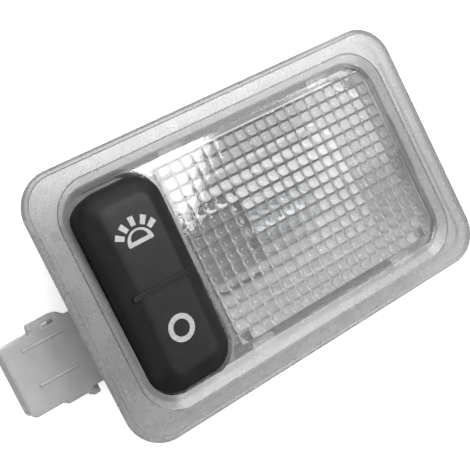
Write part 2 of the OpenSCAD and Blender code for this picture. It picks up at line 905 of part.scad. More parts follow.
module clip_rivet() {
    color([0.75, 0.75, 0.77])
        translate([inner_right, 0, clip_rivet_z])
            rotate([0, 90, 0]) {
                cylinder(r = clip_rivet_r, h = wall + clip_t);
                translate([0, 0, wall + clip_t])
                    rotate_extrude()
                        polygon([[0, 0], [2.4, 0], [2.3, 0.3], [1.4, 0.6], [0, 0.6]]);
                translate([0, 0, -0.5])
                    cylinder(r = 2.1, h = 0.5);
            }
}

lens_bezel();
base_housing();
rocker();
detent_plunger();
detent_spring();
wiper_contact();
lamp_strip();
earth_strip();
door_strip();
supply_strip();
strip_rivets();
bulb_holder();
bulb_glass();
bulb_filament();
bulb_leads();
reflector();
retaining_clip();
clip_rivet();
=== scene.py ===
import json
import math

import bmesh
import bpy
from mathutils import Matrix, Vector


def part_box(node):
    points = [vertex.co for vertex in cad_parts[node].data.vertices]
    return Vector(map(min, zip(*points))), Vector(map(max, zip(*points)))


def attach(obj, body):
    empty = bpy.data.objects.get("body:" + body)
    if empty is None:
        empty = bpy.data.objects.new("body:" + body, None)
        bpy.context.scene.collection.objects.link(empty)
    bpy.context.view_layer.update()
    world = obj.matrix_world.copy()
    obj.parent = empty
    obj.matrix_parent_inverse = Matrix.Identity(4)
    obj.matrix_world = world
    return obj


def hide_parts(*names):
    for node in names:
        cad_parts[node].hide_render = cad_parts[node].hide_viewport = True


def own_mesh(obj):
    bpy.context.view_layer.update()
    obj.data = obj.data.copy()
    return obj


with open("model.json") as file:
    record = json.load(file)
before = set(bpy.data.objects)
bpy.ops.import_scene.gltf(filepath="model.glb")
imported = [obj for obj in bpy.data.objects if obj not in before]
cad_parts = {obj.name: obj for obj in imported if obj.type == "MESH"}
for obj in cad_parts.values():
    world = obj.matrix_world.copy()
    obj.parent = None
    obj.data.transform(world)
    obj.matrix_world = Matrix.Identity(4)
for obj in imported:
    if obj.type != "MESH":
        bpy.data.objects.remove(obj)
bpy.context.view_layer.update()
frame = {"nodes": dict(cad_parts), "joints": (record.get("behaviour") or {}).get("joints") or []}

bl_info = {
    "name": "Car dome light",
    "version": (1, 0, 0),
    "blender": (4, 5, 0),
    "location": "3D View > Sidebar > Dome light",
    "description": "Builds the clear mouldings, rocker switch, bulb and studio of a car dome light",
    "category": "Add Mesh",
}

MM = 0.001


def extent(node, axis):
    """Lowest and highest place of one of the part's pieces on an axis, in millimetres."""
    return [round(corner["XYZ".index(axis)] / MM, 3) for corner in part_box(node)]


def joint(name):
    """What the frame says of one joint."""
    return next(j for j in frame["joints"] if j["name"] == name)


# Places taken from the part, in millimetres

LEFT, RIGHT = extent("lens_bezel", "X")
HALF_WIDTH = extent("lens_bezel", "Y")[1]
BASE_H, CREST_Z = extent("lens_bezel", "Z")
MID_X = (LEFT + RIGHT) / 2
RIM_Z, SEAT_Z = CREST_Z - 1, CREST_Z - 3
WALL, LENS_T, POCKET = 1.35, 2.0, 0.9
BODY_HALF_X = extent("base_housing", "X")[1] - MID_X
BODY_HALF_Y = extent("base_housing", "Y")[1]
BODY_R = 7.35
INNER_HALF_X, INNER_HALF_Y, INNER_R = BODY_HALF_X - WALL, BODY_HALF_Y - WALL, BODY_R - WALL
CONN_Y, SOCKET_HALF, SOCKET_LOW, SOCKET_HIGH = -5.8, 6.5, 1.9, 7.3

PIVOT = [round(place / MM, 3) for place in joint("rocker_turn")["pos_m"]]
ROCKER_HALF_X, ROCKER_HALF_Y, SIDE_GAP = 9.45, 21.6, 0.3
OPEN_X, OPEN_HALF_X = PIVOT[0], ROCKER_HALF_X + SIDE_GAP
COLLAR_T = 1.05
LENS_LEFT = OPEN_X + OPEN_HALF_X + COLLAR_T
CROWN_Z, ROOF_Z, SKIRT_Z, ROCKER_WALL = RIM_Z + 4.4, 20.2, 13.4, 1.6
TRUNNION_R, RUNNING_GAP = 1.2, 0.05
TUBE_FOOT, BORE_R, TUBE_WALL, BORE_TOP = 6.9, 1.57, 1.2, 17.8
CARRIER_HALF_X, CARRIER_HALF_Y, CARRIER_T, POST_HALF, PIN_X = 7, 2.6, 1.6, 0.7, 4
RIB_HALF_X, RIB_HALF_Y = 6.7, 0.55
SPRING_FOOT, SPRING_R, WIRE_R = 12.17, 1.21, 0.17
INK_LOW, INK_HIGH = -0.05, 0.025

FILAMENT_X, FILAMENT_Z = (sum(extent("bulb_filament", axis)) / 2 for axis in "XZ")
FILAMENT_L = 4.4


# Meshes

def rounded_ring(cx, cy, half_x, half_y, radius, z, arc=12, side_x=1, side_y=1):
    """Points of a rounded rectangle, anticlockwise from the middle of its right side."""
    radius = max(radius, 0.01)
    corners = [(1, 1, 0), (-1, 1, 90), (-1, -1, 180), (1, -1, 270)]
    points = []
    for n, (sx, sy, start) in enumerate(corners):
        x = cx + sx * (half_x - radius)
        y = cy + sy * (half_y - radius)
        for k in range(arc + 1):
            a = math.radians(start + 90 * k / arc)
            points.append((x + radius * math.cos(a), y + radius * math.sin(a), z))
        nx, ny, following = corners[(n + 1) % 4]
        a = math.radians(following)
        end = (cx + nx * (half_x - radius) + radius * math.cos(a),
               cy + ny * (half_y - radius) + radius * math.sin(a))
        last = points[-1]
        steps = side_x if n % 2 == 0 else side_y
        for k in range(1, steps):
            t = k / steps
            points.append((last[0] + (end[0] - last[0]) * t, last[1] + (end[1] - last[1]) * t, z))
    return points


def mesh_object(name, points, faces):
    """Smooth mesh from points in millimetres, linked to the scene."""
    mesh = bpy.data.meshes.new(name)
    mesh.from_pydata([Vector(p) * MM for p in points], [], faces)
    mesh.validate()
    mesh.shade_smooth()
    obj = bpy.data.objects.new(name, mesh)
    bpy.context.scene.collection.objects.link(obj)
    return obj


def walls(rings):
    """Points and side faces of a tube through rings of equal count."""
    count = len(rings[0])
    faces = []
    for level in range(len(rings) - 1):
        a, b = level * count, (level + 1) * count
        for k in range(count):
            j = (k + 1) % count
            faces.append((a + k, a + j, b + j, b + k))
    return [p for ring in rings for p in ring], faces


def loft(name, rings):
    """Closed solid through rings of equal count, listed from one cap to the other."""
    count = len(rings[0])
    points, faces = walls(rings)
    faces.append(tuple(reversed(range(count))))
    faces.append(tuple(range(len(points) - count, len(points))))
    obj = mesh_object(name, points, faces)
    outward(obj)
    return obj


def outward(obj):
    """Turns all faces of a closed mesh outwards."""
    shape = bmesh.new()
    shape.from_mesh(obj.data)
    bmesh.ops.recalc_face_normals(shape, faces=shape.faces)
    shape.to_mesh(obj.data)
    shape.free()


def slab(name, cx, cy, half_x, half_y, radius, z0, z1, edge=0.15, arc=10):
    """Rounded block whose rims are eased over."""
    rings = []
    for inset, z in ((edge, z0), (edge * 0.3, z0 + edge * 0.3), (0, z0 + edge),
                     (0, z1 - edge), (edge * 0.3, z1 - edge * 0.3), (edge, z1)):
        rings.append(rounded_ring(cx, cy, half_x - inset, half_y - inset,
                                  max(radius - inset, 0.02), z, arc))
    return loft(name, rings)


def circle(radius, sides, middle_y=0):
    """Flat points of a circle round a middle on the Y axis."""
    return [(radius * math.cos(2 * math.pi * k / sides),
             middle_y + radius * math.sin(2 * math.pi * k / sides)) for k in range(sides)]


def drum(name, radius, z0, z1, ease=0.1, sides=48):
    """Short round bar along Z."""
    return loft(name, [[(x, y, z) for x, y in circle(radius - inset, sides)]
                       for inset, z in ((ease, z0), (0, z0 + ease), (0, z1 - ease), (ease, z1))])


def placed(obj, matrix):
    """Puts a turn and a place (in millimetres) into the mesh itself."""
    matrix = matrix.copy()
    matrix.translation = matrix.translation * MM
    obj.data.transform(matrix)
    return obj


def shift(x, y, z):
    return Matrix.Translation((x, y, z))


def turn(degrees, axis):
    return Matrix.Rotation(math.radians(degrees), 4, axis)


def combine(base, tool, how):
    """Adds a tool solid to a base solid, cuts it out, or keeps what they share."""
    change = base.modifiers.new("combine", "BOOLEAN")
    change.operation = how
    change.solver = "MANIFOLD"
    change.object = tool
    bake(base)
    bpy.data.objects.remove(tool)
    return base


def bake(obj):
    """Turns what an object's modifiers make into its own plain mesh."""
    depsgraph = bpy.context.evaluated_depsgraph_get()
    mesh = bpy.data.meshes.new_from_object(obj.evaluated_get(depsgraph))
    obj.modifiers.clear()
    obj.data = mesh


def creased(obj, degrees=32):
    """Smooth faces with sharp edges kept where the surface turns hard."""
    obj.data.shade_smooth()
    obj.data.set_sharp_from_angle(angle=math.radians(degrees))
    even = obj.modifiers.new("even", "WEIGHTED_NORMAL")
    even.keep_sharp = True
    bake(obj)
    return obj


# Materials

def wire(tree, made, inputs):
    """Gives a node's inputs their values, or links from other nodes' outputs."""
    for key, value in inputs.items():
        if isinstance(value, bpy.types.NodeSocket):
            tree.links.new(value, made.inputs[key])
        else:
            made.inputs[key].default_value = value


def node(tree, kind, inputs=None, **settings):
    """New node of a shader or geometry tree."""
    made = tree.nodes.new(kind)
    for key, value in settings.items():
        setattr(made, key, value)
    wire(tree, made, inputs or {})
    return made


def blank(owner):
    """Empty node tree of a material or world."""
    owner.use_nodes = True
    owner.node_tree.nodes.clear()
    return owner.node_tree


def new_material(name):
    """Material with a bare principled shader on its output."""
    material = bpy.data.materials.new(name)
    tree = blank(material)
    shader = node(tree, "ShaderNodeBsdfPrincipled")
    node(tree, "ShaderNodeOutputMaterial", {"Surface": shader.outputs[0]})
    return material, tree, shader


def object_point(tree, scale=(1, 1, 1)):
    """Place on the piece, stretched where a pattern runs along one way."""
    place = node(tree, "ShaderNodeTexCoord").outputs["Object"]
    return node(tree, "ShaderNodeMapping", {"Scale": scale, "Vector": place}).outputs["Vector"]


def noise(tree, vector, scale, detail=3, roughness=0.55):
    return node(tree, "ShaderNodeTexNoise", {
        "Scale": scale, "Detail": detail, "Roughness": roughness, "Vector": vector}).outputs["Fac"]


def ramp(tree, factor, low, high, start=0.35, end=0.65):
    """Colour that runs from low to high while a pattern runs from start to end."""
    made = node(tree, "ShaderNodeValToRGB", {"Fac": factor})
    for stop, place, shade in zip(made.color_ramp.elements, (start, end), (low, high)):
        stop.position, stop.color = place, (*shade, 1)
    return made.outputs["Color"]


def span(tree, factor, low, high, start=0.3, end=0.7):
    """Number that runs from low to high while a pattern runs from start to end."""
    return node(tree, "ShaderNodeMapRange", {
        "Value": factor, "From Min": start, "From Max": end,
        "To Min": low, "To Max": high}).outputs["Result"]


def along(tree, axis, start, end, low=0):
    """Number that runs from low to 1 between two places on an axis of the part."""
    parts = node(tree, "ShaderNodeSeparateXYZ", {0: object_point(tree)})
    return span(tree, parts.outputs[axis], low, 1, start, end)


def bump(tree, shader, height, strength, distance):
    made = node(tree, "ShaderNodeBump", {"Height": height, "Strength": strength, "Distance": distance})
    wire(tree, shader, {"Normal": made.outputs["Normal"]})


def darker(shade, share):
    return [c * share for c in shade]


def clear_plastic(name, shade, transmission, rough, passed, cloud=0.93):
    """Clear moulding that has gone faintly milky, with flow marks under a satin skin.

    passed is the share of the lamps' light that reaches what lies behind it, cloud the
    darkest shade of its streaks."""
    material, tree, shader = new_material(name)
    point = object_point(tree)
    haze = noise(tree, point, 190, 5, 0.62)
    grain = noise(tree, point, 1400, 2)
    wire(tree, shader, {
        "Base Color": ramp(tree, haze, darker(shade, cloud), shade, 0.25, 0.75),
        "Roughness": span(tree, haze, rough * 0.8, rough * 1.25),
        "IOR": 1.49, "Transmission Weight": transmission})
    bump(tree, shader, grain, 0.12, 0.00004)
    through = node(tree, "ShaderNodeBsdfTransparent", {"Color": (passed, passed, passed, 1)})
    path = node(tree, "ShaderNodeLightPath")
    both = node(tree, "ShaderNodeMixShader", {
        0: path.outputs["Is Shadow Ray"], 1: shader.outputs[0], 2: through.outputs[0]})
    output = next(n for n in tree.nodes if n.type == "OUTPUT_MATERIAL")
    wire(tree, output, {"Surface": both.outputs[0]})
    return material


def moulded_plastic(name, low, high, rough, grain_size, grain_depth, gloss=0.5):
    """Opaque moulding with a fine spark-eroded texture."""
    material, tree, shader = new_material(name)
    point = object_point(tree)
    blotch = noise(tree, point, 260, 4)
    grain = noise(tree, point, grain_size, 2, 0.7)
    wire(tree, shader, {
        "Base Color": ramp(tree, blotch, low, high),
        "Roughness": span(tree, grain, rough - 0.06, rough + 0.06), "Specular IOR Level": gloss})
    bump(tree, shader, grain, 0.6, grain_depth)
    return material


def metal(name, low, high, rough, stretch):
    """Rolled or drawn metal with streaks along one way."""
    material, tree, shader = new_material(name)
    streak = noise(tree, object_point(tree, stretch), 900, 4)
    stain = noise(tree, object_point(tree), 180, 3)
    wire(tree, shader, {
        "Base Color": ramp(tree, stain, low, high),
        "Roughness": span(tree, streak, rough * 0.7, rough * 1.35), "Metallic": 1})
    bump(tree, shader, streak, 0.25, 0.00002)
    return material


def graded(material, value, low, high):
    """Lets a finish's colour run from low to high with a value of its own node tree, here used to paint
    light and shade into the colour.
    """
    tree = material.node_tree
    shader = next(n for n in tree.nodes if n.type == "BSDF_PRINCIPLED")
    wire(tree, shader, {"Base Color": ramp(tree, value, low, high, 0, 1)})
    return material


def bulb_glass_finish():
    material, tree, shader = new_material("Bulb glass")
    film = noise(tree, object_point(tree), 120, 3)
    wire(tree, shader, {
        "Base Color": ramp(tree, film, (0.93, 0.95, 0.96), (0.98, 0.99, 1)),
        "Roughness": span(tree, film, 0.01, 0.05), "IOR": 1.5, "Transmission Weight": 1})
    return material


def print_ink():
    """Light grey ink of the switch symbols, slightly uneven."""
    material, tree, shader = new_material("Symbol ink")
    speck = noise(tree, object_point(tree), 2200, 3)
    shade = bpy.context.scene.dome_finish.symbols
    wire(tree, shader, {"Base Color": ramp(tree, speck, darker(shade, 0.75), shade), "Roughness": 0.5})
    bump(tree, shader, speck, 0.3, 0.00001)
    return material


def painted_shade_flanks():
    """Sides of the cells, painted dark as shade, the painted shade deepest towards the lamp symbol's side
    and lightened towards the O symbol's side as a painted veil of reflection.
    """
    material = clear_plastic("Cell flanks with painted shade", (0.2, 0.2, 0.202),
                             transmission=0.12, rough=0.5, passed=0.68)
    # Painted shade: light on the O symbol's side as a painted veil of reflection, dark on the lamp symbol's
    # side
    side = along(material.node_tree, "Y", -0.013, 0.006)
    return graded(material, side, (0.26, 0.26, 0.262), (0.045, 0.045, 0.046))


def reflector_with_painted_light():
    """White moulding with painted light and shade: lightest at the far corner of the lamp symbol's side,
    painted darker towards the O symbol's side and the rocker.
    """
    shade = bpy.context.scene.dome_finish.reflector
    material = moulded_plastic("Reflector white with painted light", shade, shade,
                               rough=0.3, grain_size=900, grain_depth=0.00001)
    tree = material.node_tree
    # Painted light and shade: the colour runs from dark on the O symbol's side and near the rocker to light
    # at the far corner
    corner = node(tree, "ShaderNodeMath", {
        0: along(tree, "Y", -0.01, 0.013), 1: along(tree, "X", 0.029, 0.037, 0.6)}, operation="MULTIPLY")
    return graded(material, corner.outputs[0], darker(shade, 0.44), shade)


FINISHES = {}


def finish(slot):
    """The material of one of the record's slots, made once."""
    shades = bpy.context.scene.dome_finish
    makers = {
        "clear_plastic": lambda: clear_plastic(
            "Clear moulding", shades.front, transmission=0.66, rough=0.26, passed=0.62, cloud=0.86),
        # Same clear plastic as the front, its lighter shade partly the plastic's own colour and partly
        # painted light on the connector
        "rear": lambda: clear_plastic(
            "Rear moulding", shades.rear, transmission=0.58, rough=0.16, passed=0.62, cloud=0.84),
        "lens": lambda: clear_plastic(
            "Lens moulding", shades.lens, transmission=0.94, rough=0.05, passed=0.68),
        "lens_flank": painted_shade_flanks,
        "rocker_black": lambda: moulded_plastic(
            "Rocker black", darker(shades.rocker, 0.6), shades.rocker,
            rough=0.5, grain_size=3800, grain_depth=0.00006, gloss=0.26),
        "natural_plastic": lambda: moulded_plastic(
            "Natural acetal", (0.74, 0.73, 0.67), (0.82, 0.81, 0.76),
            rough=0.38, grain_size=1500, grain_depth=0.00001),
        "holder_plastic": lambda: moulded_plastic(
            "Holder plastic", (0.02, 0.02, 0.021), (0.05, 0.05, 0.052),
            rough=0.5, grain_size=1200, grain_depth=0.00003),
        "white_plastic": reflector_with_painted_light,
        "spring_steel": lambda: metal(
            "Zinc plated steel", (0.42, 0.43, 0.45), (0.62, 0.63, 0.65), rough=0.32, stretch=(1, 8, 1)),
        "brass": lambda: metal(
            "Stamped brass", (0.5, 0.43, 0.3), (0.66, 0.58, 0.42), rough=0.28, stretch=(1, 10, 1)),
        "bulb_glass": bulb_glass_finish,
        "tungsten": lambda: metal(
            "Drawn wire", (0.3, 0.3, 0.32), (0.42, 0.42, 0.44), rough=0.35, stretch=(1, 1, 6)),
        "ink": print_ink,
    }
    if slot not in FINISHES:
        FINISHES[slot] = makers[slot]()
    return FINISHES[slot]


def dress(obj, *slots):
    """Gives a piece its finishes, in the order of its face material numbers."""
    obj.data.materials.clear()
    for slot in slots:
        obj.data.materials.append(finish(slot))


# Settings

def length_setting(name, description, default):
    return bpy.props.FloatProperty(name=name, description=description, default=default * MM,
                                   unit="LENGTH", subtype="DISTANCE", precision=5)


def shade_setting(name, description, default):
    return bpy.props.FloatVectorProperty(name=name, description=description, default=default,
                                         size=3, subtype="COLOR", min=0, max=1)


class FrontSettings(bpy.types.PropertyGroup):
    half_length: length_setting("Half length", "Half of the flange's length", (RIGHT - LEFT) / 2)
    half_width: length_setting("Half width", "Half of the flange's width", HALF_WIDTH)
    corner: length_setting("Corner radius", "Radius of the flange's corners", 8)
    recess: length_setting("Recess depth", "Depth of the recess below the crest", 1.4)


class LensSettings(bpy.types.PropertyGroup):
    pitch_x: length_setting("Cell length", "Length of one lens cell", 2.75)
    pitch_y: length_setting("Cell width", "Width of one lens cell", 2.7)
    depth: length_setting("Cell depth", "How far one cell bulges into the lamp", 1.1)
    wave: length_setting("Sink", "How far the outer face follows the cells", 0.011)
    uneven: length_setting("Unevenness", "How far single cells lean out of line", 0.016)
    columns: bpy.props.IntProperty(name="Columns", description="Cells along the lens", default=21)
    rows: bpy.props.IntProperty(name="Rows", description="Cells across the lens", default=15)


class RockerSettings(bpy.types.PropertyGroup):
    half_width: length_setting("Half width", "Half of the rocker's width", ROCKER_HALF_X)
    half_length: length_setting("Half length", "Half of the rocker's length", ROCKER_HALF_Y)
    crown_radius: length_setting("Crown radius", "Radius of the crown along the rocker", 150)
    tilt: bpy.props.FloatProperty(name="Tilt", description="Turn of the rocker at rest",
                                  default=math.radians(5), subtype="ANGLE")


class FinishSettings(bpy.types.PropertyGroup):
    front: shade_setting("Front moulding", "Shade of the clear front moulding", (0.37, 0.372, 0.375))
    # The rear moulding's lighter shade is partly painted light on the connector
    rear: shade_setting("Rear moulding", "Shade of the clear rear moulding", (0.56, 0.563, 0.566))
    lens: shade_setting("Lens", "Shade of the clear lens cells", (0.84, 0.845, 0.85))
    rocker: shade_setting("Rocker", "Lightest shade of the rocker's black plastic", (0.01, 0.01, 0.0105))
    symbols: shade_setting("Symbols", "Lightest shade of the printed symbols", (0.4, 0.4, 0.4))
    reflector: shade_setting("Reflector", "Lightest shade of the white reflector", (0.86, 0.86, 0.85))


class StudioSettings(bpy.types.PropertyGroup):
    key_power: bpy.props.FloatProperty(name="Key light", description="Power of the main lamp",
                                       default=5, unit="POWER")
    fill_strength: bpy.props.FloatProperty(name="Fill", description="Strength of the world's light",
                                           default=0.144)


def mm(value):
    """A length setting in millimetres."""
    return value / MM


# Geometry nodes

class NodeTree:
    """Short hand for building a geometry node tree."""

    def __init__(self, name):
        self.tree = bpy.data.node_groups.new(name, "GeometryNodeTree")
        self.face = self.tree.interface
        self.entry = self.tree.nodes.new("NodeGroupInput")
        self.exit = self.tree.nodes.new("NodeGroupOutput")
        self.face.new_socket("Geometry", in_out="OUTPUT", socket_type="NodeSocketGeometry")

    def number(self, name, default, kind="NodeSocketFloat"):
        self.face.new_socket(name, in_out="INPUT", socket_type=kind).default_value = default
        return self.entry.outputs[name]

    def node(self, kind, inputs=None, **settings):
        return node(self.tree, kind, inputs, **settings)

    def calc(self, operation, a, b=0.0, c=0.0):
        return self.node("ShaderNodeMath", {0: a, 1: b, 2: c}, operation=operation).outputs[0]

    def finish(self, geometry, material):
        real = self.node("GeometryNodeRealizeInstances", {"Geometry": geometry})
        coat = self.node("GeometryNodeSetMaterial", {"Geometry": real.outputs[0], "Material": material})
        self.tree.links.new(coat.outputs[0], self.exit.inputs[0])
        return self.tree


def grown(name, tree, values):
    """Plain mesh object from a node tree, its inputs set by their identifiers."""
    obj = bpy.data.objects.new(name, bpy.data.meshes.new(name))
    bpy.context.scene.collection.objects.link(obj)
    grow = obj.modifiers.new("grow", "NODES")
    grow.node_group = tree
    for item in tree.interface.items_tree:
        if item.in_out == "INPUT" and item.name in values:
            grow[item.identifier] = values[item.name]
    bake(obj)
    return obj


# Power by which a cell falls from its crown to its edges
PILLOW_POWER = 2.0
# A face is a flank, coloured with painted shade, where its slope is more than FLANK_SLOPE away from
# FLANK_LEAN, so that the flanks and their painted shade lie towards the rocker and the lamp symbol's side
FLANK_SLOPE, FLANK_LEAN = 0.7, (0.13, -0.17)


def lens_field_tree():
    """Plate with rows of square pillows on its underside and the shallow sinks over them."""
    build = NodeTree("Lens field")
    columns = build.number("Columns", 21, "NodeSocketInt")
    rows = build.number("Rows", 15, "NodeSocketInt")
    pitch_x = build.number("Pitch X", 2.75 * MM)
    pitch_y = build.number("Pitch Y", 2.7 * MM)
    depth = build.number("Depth", 1.1 * MM)
    wave = build.number("Wave", 0.011 * MM)
    uneven = build.number("Uneven", 0.016 * MM)
    thickness = build.number("Thickness", 2 * MM)
    fine = build.number("Steps per cell", 10, "NodeSocketInt")
    size = build.node("ShaderNodeCombineXYZ", {
        0: build.calc("MULTIPLY", columns, pitch_x),
        1: build.calc("MULTIPLY", rows, pitch_y), 2: thickness})
    plate = build.node("GeometryNodeMeshCube", {
        "Size": size.outputs[0],
        "Vertices X": build.calc("MULTIPLY_ADD", columns, fine, 1.0),
        "Vertices Y": build.calc("MULTIPLY_ADD", rows, fine, 1.0), "Vertices Z": 2})
    place = build.node("GeometryNodeInputPosition")
    parts = build.node("ShaderNodeSeparateXYZ", {0: place.outputs[0]})
    # Across a cell, off runs from -1 to 1, and drawn moves the mesh's lines out to its flanks
    crowns, drawn, offs, places = [], [], [], []
    for axis, pitch, count in ((0, pitch_x, columns), (1, pitch_y, rows)):
        cells = build.calc("ADD", build.calc("DIVIDE", parts.outputs[axis], pitch),
                           build.calc("DIVIDE", count, 2.0))
        off = build.calc("SUBTRACT", build.calc("MULTIPLY", build.calc("FRACT", cells), 2.0), 1.0)
        offs.append(off)
        places.append(build.calc("FLOOR", cells))
        gathered = build.calc("SINE", build.calc("MULTIPLY", off, math.pi / 2))
        drawn.append(build.calc("MULTIPLY", build.calc("SUBTRACT", gathered, off),
                                build.calc("DIVIDE", pitch, 2.0)))
        crowns.append(build.calc("POWER", build.calc("ABSOLUTE", gathered), PILLOW_POWER))
    pillow = build.calc("SUBTRACT", 1.0, build.calc("DIVIDE", build.calc("ADD", *crowns), 2.0))
    # The underside bulges by the depth and the top by the sink, each a little unevenly
    below = build.calc("LESS_THAN", parts.outputs[2], 0.0)
    above = build.calc("SUBTRACT", 1.0, below)
    which = build.node("ShaderNodeCombineXYZ", {0: places[0], 1: places[1]})
    chance = build.node("ShaderNodeTexWhiteNoise", {"Vector": which.outputs[0]})
    leans = build.node("ShaderNodeSeparateXYZ", {0: chance.outputs["Color"]})
    lean = build.calc("ADD", *(build.calc("MULTIPLY", offs[k], build.calc(
        "SUBTRACT", leans.outputs[k], 0.5)) for k in (0, 1)))
    rise = build.calc("MULTIPLY", pillow, build.calc(
        "SUBTRACT", build.calc("MULTIPLY", above, build.calc("ADD", wave, build.calc(
            "MULTIPLY", lean, build.calc("DIVIDE", uneven, 2.0)))),
        build.calc("MULTIPLY", below, build.calc("ADD", depth, build.calc("MULTIPLY", lean, uneven)))))
    move = build.node("ShaderNodeCombineXYZ", {0: drawn[0], 1: drawn[1], 2: rise})
    shaped = build.node("GeometryNodeSetPosition", {"Geometry": plate.outputs["Mesh"],
                                                    "Offset": move.outputs[0]})
    return build.finish(shaped.outputs[0], finish("lens"))


def wire_coil_tree():
    """Round wire wound into a coil along Z."""
    build = NodeTree("Wire coil")
    turns = build.number("Turns", 9.0)
    radius = build.number("Coil radius", 0.5 * MM)
    height = build.number("Length", 4.4 * MM)
    wire_radius = build.number("Wire radius", 0.09 * MM)
    coil = build.node("GeometryNodeCurveSpiral", {
        "Resolution": 24, "Rotations": turns, "Start Radius": radius, "End Radius": radius,
        "Height": height})
    section = build.node("GeometryNodeCurvePrimitiveCircle", {"Resolution": 8, "Radius": wire_radius})
    tube = build.node("GeometryNodeCurveToMesh", {
        "Curve": coil.outputs[0], "Profile Curve": section.outputs[0], "Fill Caps": True})
    return build.finish(tube.outputs[0], finish("tungsten"))


# Pieces and stage

def flange_ring(inset, z):
    """Ring inside the flange's outline."""
    front = bpy.context.scene.dome_front
    return rounded_ring(MID_X, 0, mm(front.half_length) - inset, mm(front.half_width) - inset,
                        mm(front.corner) - inset, z, 20)


def body_ring(grow, z):
    """Ring round the body behind the flange."""
    return rounded_ring(MID_X, 0, BODY_HALF_X + grow, BODY_HALF_Y + grow, BODY_R + grow, z, 20)


def inner_ring(grow, z, wider=0):
    """Ring round the space inside the body, wider across than along where asked."""
    return rounded_ring(MID_X, 0, INNER_HALF_X + grow, INNER_HALF_Y + grow + wider, INNER_R + grow, z, 20)


def opening_ring(z, grow_x=0, grow_y=0, grow_corner=0):
    """Ring round the opening that the rocker stands in."""
    return rounded_ring(OPEN_X, 0, OPEN_HALF_X + grow_x, INNER_HALF_Y + grow_y,
                        INNER_R + grow_corner, z, 20)


def lens_levels():
    """Heights of the recess's floor and of the lens plate's underside."""
    floor_z = CREST_Z - mm(bpy.context.scene.dome_front.recess)
    return floor_z, floor_z - LENS_T


